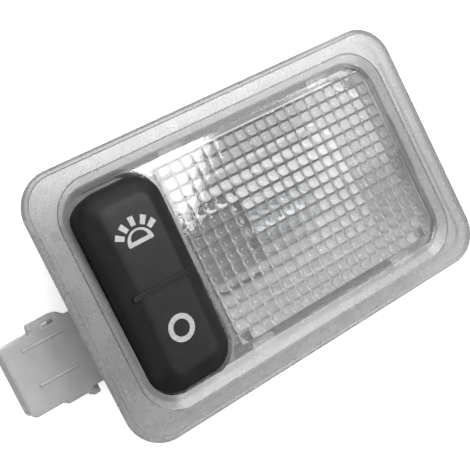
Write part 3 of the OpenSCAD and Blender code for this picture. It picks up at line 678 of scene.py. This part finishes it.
class DOME_OT_front_moulding(bpy.types.Operator):
    """Clear front moulding: flange, recess, collar and the lens with its cells"""
    bl_idname = "dome.front_moulding"
    bl_label = "Front moulding"

    # Insets from the flange's outline and heights above its seat, from the lip to the crest
    RIM = ((3.0, 0.1), (2.85, 0), (0.95, 0), (0.72, 0.12), (0.5, 0.5), (0.12, 1.4), (0, 2),
           (0.04, 2.3), (0.17, 2.58), (0.38, 2.79), (0.68, 2.91), (1.08, 2.95), (1.2, 2.83),
           (1.34, 2.96), (1.9, 2.98), (3.4, 3))
    LUG_Y, LUG_HALF, LUG_REACH = 15.04, 3, 2.2
    # Windows in the long sides that the rear moulding's hooks click into
    WINDOW_X, WINDOW_Z = (LENS_LEFT + 6.5, MID_X + INNER_HALF_X - 11), (13.4, 15.2)
    # Plain strips beside the cells, at the collar and at the far wall
    NEAR_STRIP, FAR_STRIP = 0.1, 0.5
    RECESS_EASE, RECESS_WIDER = 0.25, 0.4

    def execute(self, context):
        lens = context.scene.dome_lens
        floor_z, plate_z = lens_levels()
        flange = loft("front_moulding", [
            body_ring(-4, BASE_H), body_ring(-0.2, BASE_H), body_ring(0, BASE_H + 0.2),
            body_ring(0, SEAT_Z + POCKET - 0.2), body_ring(0.2, SEAT_Z + POCKET),
            flange_ring(3.0, SEAT_Z + POCKET), *(flange_ring(inset, SEAT_Z + up) for inset, up in self.RIM),
            inner_ring(1, CREST_Z)])
        ease, wider = self.RECESS_EASE, self.RECESS_WIDER
        combine(flange, loft("recess", [
            inner_ring(-3, floor_z), inner_ring(-ease, floor_z), inner_ring(0.1, floor_z + 0.08),
            inner_ring(ease, floor_z + 0.19), inner_ring(2.1, CREST_Z - 0.14, wider),
            inner_ring(2.28, CREST_Z - 0.08, wider), inner_ring(2.4, CREST_Z - 0.3, wider),
            inner_ring(2.55, CREST_Z + 0.01, wider), inner_ring(2.55, CREST_Z + 1, wider)]), "DIFFERENCE")
        combine(flange, loft("chamber", [
            inner_ring(0, BASE_H - 1), inner_ring(0, plate_z), inner_ring(-3, plate_z)]), "DIFFERENCE")
        combine(flange, loft("opening", [opening_ring(BASE_H - 1), opening_ring(CREST_Z + 1)]),
                "DIFFERENCE")
        for x in self.WINDOW_X:
            for side in (-1, 1):
                combine(flange, slab("window", x, side * (INNER_HALF_Y + 1), 3, 1.7, 0.1,
                                     *self.WINDOW_Z, 0.02, 1), "DIFFERENCE")
        for side in (-1, 1):
            combine(flange, self.lug(side * self.LUG_Y), "UNION")
        combine(flange, self.collar(floor_z), "UNION")
        bore = drum("bore", TRUNNION_R + RUNNING_GAP, 0, 26)
        combine(flange, placed(bore, shift(-34, 0, PIVOT[2]) @ turn(90, "Y")), "DIFFERENCE")
        combine(flange, self.lens_field(lens, plate_z), "UNION")
        creased(flange, 28)
        dress(flange, "clear_plastic", "lens", "lens_flank")
        self.mark_lens(flange, floor_z, plate_z)
        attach(flange, "housing")
        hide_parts("lens_bezel")
        return {"FINISHED"}

    def lug(self, y):
        """Fixed lug that holds the connector's end behind the headliner."""
        outline = ((0.1, 12.05), (0.1, 14.6), (-self.LUG_REACH, 14.2), (-self.LUG_REACH, 13.6))
        return loft("lug", [[(MID_X - BODY_HALF_X + x, y + side * self.LUG_HALF, z) for x, z in outline]
                            for side in (-1, 1)])

    def collar(self, floor_z):
        """Wall beside the rocker's inner long side, following the opening's round corners."""
        outer = loft("collar", [
            opening_ring(z, COLLAR_T - inset, 0.1, COLLAR_T) for inset, z in (
                (0, BASE_H), (0, floor_z + 0.15), (0.1, floor_z + 0.27), (0.25, floor_z + 0.3))])
        inner = loft("collar_inside", [opening_ring(BASE_H - 1), opening_ring(floor_z + 1)])
        combine(outer, inner, "DIFFERENCE")
        kept = loft("collar_keep", [
            rounded_ring(OPEN_X + 10, 0, 10, INNER_HALF_Y - 0.005, 0.02, z, 1)
            for z in (BASE_H - 0.5, floor_z + 2)])
        return combine(outer, kept, "INTERSECT")

    def lens_field(self, lens, plate_z):
        """Plate of cells from the collar to the far wall."""
        field = grown("lens_cells", lens_field_tree(), {
            "Columns": lens.columns, "Rows": lens.rows, "Pitch X": lens.pitch_x,
            "Pitch Y": lens.pitch_y, "Depth": lens.depth, "Wave": lens.wave, "Uneven": lens.uneven,
            "Thickness": (LENS_T + 0.03) * MM})
        right = MID_X + INNER_HALF_X - self.FAR_STRIP
        placed(field, shift(right - mm(lens.pitch_x) * lens.columns / 2, 0, plate_z + LENS_T / 2 - 0.005))
        low, high = LENS_LEFT + self.NEAR_STRIP, right + 1
        kept = slab("lens_keep", (low + high) / 2, 0, (high - low) / 2, 21, 0.02, 15, 19.5, 0.01, 1)
        return combine(field, kept, "INTERSECT")

    def mark_lens(self, flange, floor_z, plate_z):
        """Gives the lens plate's faces the clearer finish and its cells' flanks the matt one, whose dark
        colour is painted shade.
        """
        plain, lens, flank = range(3)
        for polygon in flange.data.polygons:
            c = polygon.center / MM
            inside = (LENS_LEFT + 0.02 < c.x < MID_X + INNER_HALF_X - 0.3
                      and abs(c.y) < INNER_HALF_Y - 0.3 and plate_z - 1.2 < c.z < floor_z + 0.06)
            polygon.material_index = lens if inside else plain
            # Steep faces under the plate get the flanks' painted shade
            if inside and c.z < plate_z + 0.01:
                slope = polygon.normal.xy / max(-polygon.normal.z, 0.01)
                steep = sum((s - lean) ** 4 for s, lean in zip(slope, FLANK_LEAN)) > FLANK_SLOPE ** 4
                polygon.material_index = flank if steep else lens


class DOME_OT_rear_moulding(bpy.types.Operator):
    """Clear rear moulding with the connector, its edges eased"""
    bl_idname = "dome.rear_moulding"
    bl_label = "Rear moulding"

    # Least angle in radians between two faces for their edge to be eased
    SHARP_ANGLE = 0.7

    def execute(self, context):
        source = frame["nodes"]["base_housing"]
        shape = bmesh.new()
        shape.from_mesh(source.data)
        shape.transform(Matrix.Scale(1000, 4) @ source.matrix_world)
        bmesh.ops.remove_doubles(shape, verts=shape.verts, dist=0.002)
        bmesh.ops.dissolve_limit(shape, angle_limit=math.radians(1), verts=shape.verts, edges=shape.edges)
        for picked, width in ((self.on_connector, 0.34), (self.on_foot, 0.5)):
            edges = [e for e in shape.edges if len(e.link_faces) == 2 and e.is_convex
                     and e.calc_face_angle() > self.SHARP_ANGLE and all(picked(v.co) for v in e.verts)]
            bmesh.ops.bevel(shape, geom=edges, offset=width, segments=3, profile=0.5,
                            affect="EDGES", clamp_overlap=False)
        shape.transform(Matrix.Scale(MM, 4))
        mesh = bpy.data.meshes.new("rear_moulding")
        shape.to_mesh(mesh)
        shape.free()
        housing = bpy.data.objects.new("rear_moulding", mesh)
        context.scene.collection.objects.link(housing)
        creased(housing, 35)
        dress(housing, "rear")
        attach(housing, "housing")
        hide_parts("base_housing")
        return {"FINISHED"}

    def on_connector(self, point):
        """Outside of the connector, its socket left out."""
        inside = (abs(point.y - CONN_Y) < SOCKET_HALF + 0.05
                  and SOCKET_LOW - 0.05 < point.z < SOCKET_HIGH + 0.05)
        return point.x < MID_X - BODY_HALF_X - 0.1 and not inside

    def on_foot(self, point):
        """Outer edge of the underside."""
        dx = max(abs(point.x - MID_X) - BODY_HALF_X + BODY_R, 0)
        dy = max(abs(point.y) - BODY_HALF_Y + BODY_R, 0)
        return abs(point.z) < 0.01 and math.hypot(dx, dy) > BODY_R - 0.1


class DOME_OT_rocker(bpy.types.Operator):
    """Black rocker with its finger rib, skirt, trunnions and plunger tube"""
    bl_idname = "dome.rocker"
    bl_label = "Rocker"

    # Insets from the rocker's outline and the share of the crown's height reached there
    PROFILE = ((0, 0), (0.06, 0.11), (0.22, 0.23), (0.5, 0.35), (0.95, 0.48), (1.5, 0.6), (2.1, 0.71),
               (2.7, 0.81), (3.3, 0.9), (3.8, 0.955), (4.3, 0.982), (4.9, 0.996), (5.6, 1), (20, 1))

    def surface(self, inset, y):
        """Height of the cap: the share of the crown that its rolled edge reaches."""
        crown_r = mm(bpy.context.scene.dome_rocker.crown_radius)
        crown = CROWN_Z - crown_r + math.sqrt(crown_r ** 2 - y ** 2)
        k = max(k for k in range(len(self.PROFILE) - 1) if self.PROFILE[k][0] <= inset)
        (a, low), (b, high) = self.PROFILE[k], self.PROFILE[k + 1]
        share = low + (high - low) * (inset - a) / (b - a)
        return RIM_Z + (crown - RIM_Z) * share

    def execute(self, context):
        size = context.scene.dome_rocker
        half_x, half_y = mm(size.half_width), mm(size.half_length)

        def ring(inset, z, shorter=0):
            return rounded_ring(0, 0, half_x - inset, half_y - inset - shorter, INNER_R - inset, z,
                                arc=14, side_x=6, side_y=40)

        rings = [ring(0.15, SKIRT_Z, 0.8), ring(0, SKIRT_Z + 0.2, 0.8)]
        for inset in (*(start for start, _ in self.PROFILE[:-1]), 6.6, 7.8, 9.2):
            rings.append([(x, y, self.surface(inset, y)) for x, y, _ in ring(inset, 0)])
        cap = self.closed_cap(rings)
        combine(cap, loft("hollow", [
            rounded_ring(0, 0, half_x - ROCKER_WALL, half_y - ROCKER_WALL - 0.6,
                         INNER_R - ROCKER_WALL, z, 10) for z in (SKIRT_Z - 1, ROOF_Z)]), "DIFFERENCE")
        for side in (-1, 1):
            trunnion = placed(drum("trunnion", TRUNNION_R, 0, 1.3, 0.12),
                              shift(side * (half_x - 0.05), 0, PIVOT[2]) @ turn(side * 90, "Y"))
            combine(cap, trunnion, "UNION")
        combine(cap, drum("tube", BORE_R + TUBE_WALL, TUBE_FOOT, ROOF_Z + 0.1), "UNION")
        combine(cap, slab("carrier", 0, 0, CARRIER_HALF_X, CARRIER_HALF_Y, 0.2,
                          TUBE_FOOT, TUBE_FOOT + CARRIER_T, 0.12), "UNION")
        for side in (-1, 1):
            combine(cap, slab("post", side * (CARRIER_HALF_X - POST_HALF), 0, POST_HALF, CARRIER_HALF_Y,
                              0.2, TUBE_FOOT + 0.005, ROOF_Z + 0.1, 0.1), "UNION")
            pin = drum("pin", 0.5, TUBE_FOOT - 0.6, TUBE_FOOT + 0.1, 0.08, 24)
            combine(cap, placed(pin, shift(side * PIN_X, 0, 0)), "UNION")
        combine(cap, drum("bore", BORE_R, TUBE_FOOT - 1, BORE_TOP), "DIFFERENCE")
        combine(cap, slab("rib", 0, 0, RIB_HALF_X, RIB_HALF_Y, RIB_HALF_Y - 0.01,
                          CROWN_Z - 1, CROWN_Z + 0.35, 0.12), "UNION")
        combine(cap, slab("groove", 0, 0, RIB_HALF_X - 0.35, RIB_HALF_Y - 0.3, RIB_HALF_Y - 0.31,
                          CROWN_Z + 0.1, CROWN_Z + 1, 0.02), "DIFFERENCE")
        creased(cap, 34)
        placed(cap, self.rest())
        dress(cap, "rocker_black")
        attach(cap, "rocker")
        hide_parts("rocker")
        self.symbols()
        self.spring()
        return {"FINISHED"}

    def spring(self):
        """Coil that presses the plunger out of its bore."""
        coil = grown("detent_coil", wire_coil_tree(), {
            "Turns": 7.0, "Coil radius": SPRING_R * MM, "Wire radius": WIRE_R * MM,
            "Length": (BORE_TOP - SPRING_FOOT - 2 * WIRE_R - 0.07) * MM})
        placed(coil, self.rest() @ shift(0, 0, SPRING_FOOT + WIRE_R))
        creased(coil, 50)
        dress(coil, "spring_steel")
        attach(coil, "rocker")
        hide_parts("detent_spring")
        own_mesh(coil)

    def rest(self):
        """The rocker's turn about its pivot at rest."""
        tilt = math.degrees(bpy.context.scene.dome_rocker.tilt)
        return shift(*PIVOT) @ turn(tilt, "X") @ shift(0, 0, -PIVOT[2])

    def closed_cap(self, rings):
        """Cap whose top is bridged by strips across, so that the crown stays smooth."""
        count, last = len(rings[0]), rings[-1]
        points, sides = walls(rings)
        faces = [tuple(reversed(range(count))), *sides]
        top = len(points) - count
        mirror = [min(range(count), key=lambda m: abs(last[m][0] + x) + abs(last[m][1] - y))
                  for x, y, _ in last]
        for k in range(count):
            j = (k + 1) % count
            if last[k][0] > 0 and last[j][0] > 0:
                faces.append((top + k, top + j, top + mirror[j], top + mirror[k]))
        obj = mesh_object("rocker_cap", points, faces)
        shape = bmesh.new()
        shape.from_mesh(obj.data)
        bmesh.ops.holes_fill(shape, edges=[e for e in shape.edges if e.is_boundary], sides=0)
        bmesh.ops.triangulate(shape, faces=[f for f in shape.faces
                                            if len(f.verts) > 4 and f.normal.z > -0.5])
        bmesh.ops.recalc_face_normals(shape, faces=shape.faces)
        shape.to_mesh(obj.data)
        shape.free()
        return obj

    def symbols(self):
        """Lamp and O, printed on the crown."""
        ring_y, outer, inner = -9.3, 2.86, 1.78
        shade = self.half_disc(half_width=2.83, rise=3.0, foot_y=9.1, corner=0.35)
        shade_inside = self.half_disc(half_width=1.85, rise=1.75, foot_y=9.95, corner=0.1)
        outlines = [self.band(circle(outer, 64, ring_y), circle(inner, 64, ring_y)),
                    self.band(shade, shade_inside)]
        for x, y in ((-3.7, 11.7), (-2.15, 13.0), (0, 13.7), (2.2, 13.05), (3.5, 11.75)):
            angle = math.atan2(x, y - 9.6)
            across, out = math.cos(angle), math.sin(angle)
            outlines.append(self.patch([
                (x + u * across + v * out, y - u * out + v * across)
                for u, v in ((-0.5, -0.95), (0.5, -0.95), (0.62, 0.95), (-0.62, 0.95))]))
        points, faces = [], []
        for some_points, some_faces in outlines:
            start = len(points)
            points += some_points
            faces += [tuple(start + k for k in face) for face in some_faces]
        ink = mesh_object("rocker_symbols", points, faces)
        outward(ink)
        creased(ink, 30)
        placed(ink, self.rest())
        dress(ink, "ink")
        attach(ink, "rocker")

    def half_disc(self, half_width, rise, foot_y, corner):
        """Lampshade outline: a straight foot with eased corners under a half ellipse."""
        points = [(half_width * math.cos(a), foot_y + corner + (rise - corner) * math.sin(a))
                  for a in [math.pi * k / 30 for k in range(31)]]
        for side in (-1, 1):
            for k in range(1, 6):
                a = math.radians(18 * k if side < 0 else 90 - 18 * k)
                points.append((side * (half_width - corner + corner * math.cos(a)),
                               foot_y + corner - corner * math.sin(a)))
        return points

    def printed(self, line, lift):
        """A flat line laid on the crown."""
        return [(x, y, self.surface(6, y) + lift) for x, y in line]

    def band(self, outer, inner):
        """Printed band between two closed lines, with its thin edge."""
        count = len(outer)
        points = [p for lift in (INK_LOW, INK_HIGH) for line in (outer, inner)
                  for p in self.printed(line, lift)]
        low_out, low_in, high_out, high_in = 0, count, 2 * count, 3 * count
        faces = []
        for k in range(count):
            j = (k + 1) % count
            faces += [(high_out + k, high_out + j, high_in + j, high_in + k),
                      (low_out + k, low_in + k, low_in + j, low_out + j),
                      (low_out + k, low_out + j, high_out + j, high_out + k),
                      (low_in + k, high_in + k, high_in + j, low_in + j)]
        return points, faces

    def patch(self, outline):
        """Printed patch inside one closed line."""
        count = len(outline)
        points, sides = walls([self.printed(outline, lift) for lift in (INK_LOW, INK_HIGH)])
        return points, [tuple(reversed(range(count))), tuple(range(count, 2 * count)), *sides]


class DOME_OT_lamp_parts(bpy.types.Operator):
    """Bulb, filament, holder, reflector and contacts behind the lens"""
    bl_idname = "dome.lamp_parts"
    bl_label = "Lamp parts"

    def execute(self, context):
        slots = {"bulb_glass": "bulb_glass", "bulb_leads": "tungsten", "bulb_holder": "holder_plastic",
                 "reflector": "white_plastic", "lamp_strip": "brass", "earth_strip": "brass",
                 "door_strip": "brass", "supply_strip": "brass", "strip_rivets": "brass",
                 "wiper_contact": "brass", "detent_plunger": "natural_plastic",
                 "retaining_clip": "spring_steel", "clip_rivet": "spring_steel"}
        for piece, slot in slots.items():
            dress(frame["nodes"][piece], slot)
        filament = grown("bulb_coil", wire_coil_tree(), {
            "Turns": 9.0, "Coil radius": 0.5 * MM, "Length": FILAMENT_L * MM, "Wire radius": 0.09 * MM})
        placed(filament, shift(FILAMENT_X, FILAMENT_L / 2, FILAMENT_Z) @ turn(90, "X"))
        creased(filament, 50)
        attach(filament, "housing")
        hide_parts("bulb_filament")
        return {"FINISHED"}


class DOME_OT_studio(bpy.types.Operator):
    """Pale floor, soft lamps, world and the camera at the photograph's angle"""
    bl_idname = "dome.studio"
    bl_label = "Studio"

    # Place and direction of the long side, size, and share of the key light's power
    PANELS = {"window_panel": ((0.12, 0.36, 0.49), (1, 0, 0), (0.5, 0.12), 0.47),
              "ceiling_panel": ((0.27, 0.135, 0.57), (1, 0, 0), (0.36, 0.16), 0.56),
              "hatch_panel": ((0.2212, 0.0245, 0.57), (0.65, 0.76, 0), (0.09, 0.06), 0.045),
              "side_panel": ((0.25, -0.3, 0.4), (1, 0, 0), (0.3, 0.2), 0.19),
              "haze_panel": ((0.415, 0.005, 0.57), (1, 0, 0), (0.1, 0.11), 0.016),
              "low_panel": ((-0.42, -0.06, 0.34), (0, 1, 0), (0.4, 0.3), 0.12)}

    def execute(self, context):
        scene = context.scene
        scene.view_settings.view_transform = "Standard"
        self.camera(scene)
        self.floor()
        self.world(scene)
        for name, (place, direction, size, share) in self.PANELS.items():
            self.lamp(name, place, direction, size, scene.dome_studio.key_power * share)
        return {"FINISHED"}

    def camera(self, scene):
        """Camera at the photograph's place, angle and focal length."""
        data = bpy.data.cameras.new("photo_camera")
        data.lens, data.sensor_width, data.clip_start = 74.54, 36, 0.01
        camera = bpy.data.objects.new("photo_camera", data)
        scene.collection.objects.link(camera)
        right = Vector((0.7986, -0.4420, 0.4086))
        up = Vector((0.4324, 0.8935, 0.1215))
        back = Vector((-0.4187, 0.0797, 0.9046))
        view = Matrix((right, up, back)).transposed().to_4x4()
        view.translation = (-0.0858, 0.0167, 0.2005)
        camera.matrix_world = view
        scene.camera = camera

    def floor(self):
        """Pale floor that the camera sees as brighter the farther it lies."""
        reach = 1500
        floor = mesh_object("floor", [(-reach, -reach, 0), (reach, -reach, 0), (reach, reach, 0),
                                      (-reach, reach, 0)], [(0, 1, 2, 3)])
        material = bpy.data.materials.new("Pale floor")
        tree = blank(material)
        paint = node(tree, "ShaderNodeBsdfDiffuse", {"Color": (0.9, 0.9, 0.9, 1)})
        far = node(tree, "ShaderNodeVectorMath", {0: object_point(tree)}, operation="LENGTH")
        level = node(tree, "ShaderNodeMath", {
            0: node(tree, "ShaderNodeLightPath").outputs["Is Camera Ray"],
            1: span(tree, far.outputs["Value"], 0.6, 1, 0.15, 0.8)}, operation="MULTIPLY")
        glow = node(tree, "ShaderNodeEmission", {"Strength": level.outputs[0]})
        both = node(tree, "ShaderNodeAddShader", {0: paint.outputs[0], 1: glow.outputs[0]})
        node(tree, "ShaderNodeOutputMaterial", {"Surface": both.outputs[0]})
        floor.data.materials.append(material)

    def world(self, scene):
        """Dim light from all round that the camera sees as white."""
        scene.world = bpy.data.worlds.new("Studio")
        tree = blank(scene.world)
        path = node(tree, "ShaderNodeLightPath")
        level = span(tree, path.outputs["Is Camera Ray"], scene.dome_studio.fill_strength, 1, 0, 1)
        shade = node(tree, "ShaderNodeBackground", {"Color": (1, 1, 1, 1), "Strength": level})
        node(tree, "ShaderNodeOutputWorld", {"Surface": shade.outputs[0]})

    def lamp(self, name, place, direction, size, power):
        """Soft panel over the part, facing it, with its long side along a direction."""
        data = bpy.data.lights.new(name, "AREA")
        data.shape = "RECTANGLE"
        data.size, data.size_y = size
        data.energy = power
        lamp = bpy.data.objects.new(name, data)
        bpy.context.scene.collection.objects.link(lamp)
        back = (Vector(place) - Vector((0, 0, 0.02))).normalized()
        side = Vector(direction)
        side = (side - back * side.dot(back)).normalized()
        pose = Matrix((side, back.cross(side), back)).transposed().to_4x4()
        pose.translation = place
        lamp.matrix_world = pose


class DOME_PT_panel(bpy.types.Panel):
    """Lists the steps that build the dome light"""
    bl_idname = "DOME_PT_panel"
    bl_label = "Dome light"
    bl_space_type = "VIEW_3D"
    bl_region_type = "UI"
    bl_category = "Dome light"

    def draw(self, context):
        for step in STEPS:
            self.layout.operator(step.bl_idname)
        for group in GROUPS:
            settings = getattr(context.scene, group)
            box = self.layout.box()
            for key in settings.__annotations__:
                box.prop(settings, key)


GROUPS = {"dome_front": FrontSettings, "dome_lens": LensSettings,
          "dome_rocker": RockerSettings, "dome_finish": FinishSettings, "dome_studio": StudioSettings}
STEPS = (DOME_OT_studio, DOME_OT_front_moulding, DOME_OT_rear_moulding, DOME_OT_rocker,
         DOME_OT_lamp_parts)


def register():
    for cls in (*GROUPS.values(), *STEPS, DOME_PT_panel):
        bpy.utils.register_class(cls)
    for name, group in GROUPS.items():
        setattr(bpy.types.Scene, name, bpy.props.PointerProperty(type=group))


def unregister():
    for name in GROUPS:
        delattr(bpy.types.Scene, name)
    for cls in reversed((*GROUPS.values(), *STEPS, DOME_PT_panel)):
        bpy.utils.unregister_class(cls)


def main():
    register()
    for step in STEPS:
        group, name = step.bl_idname.split(".")
        getattr(getattr(bpy.ops, group), name)()


if __name__ == "__main__":
    main()
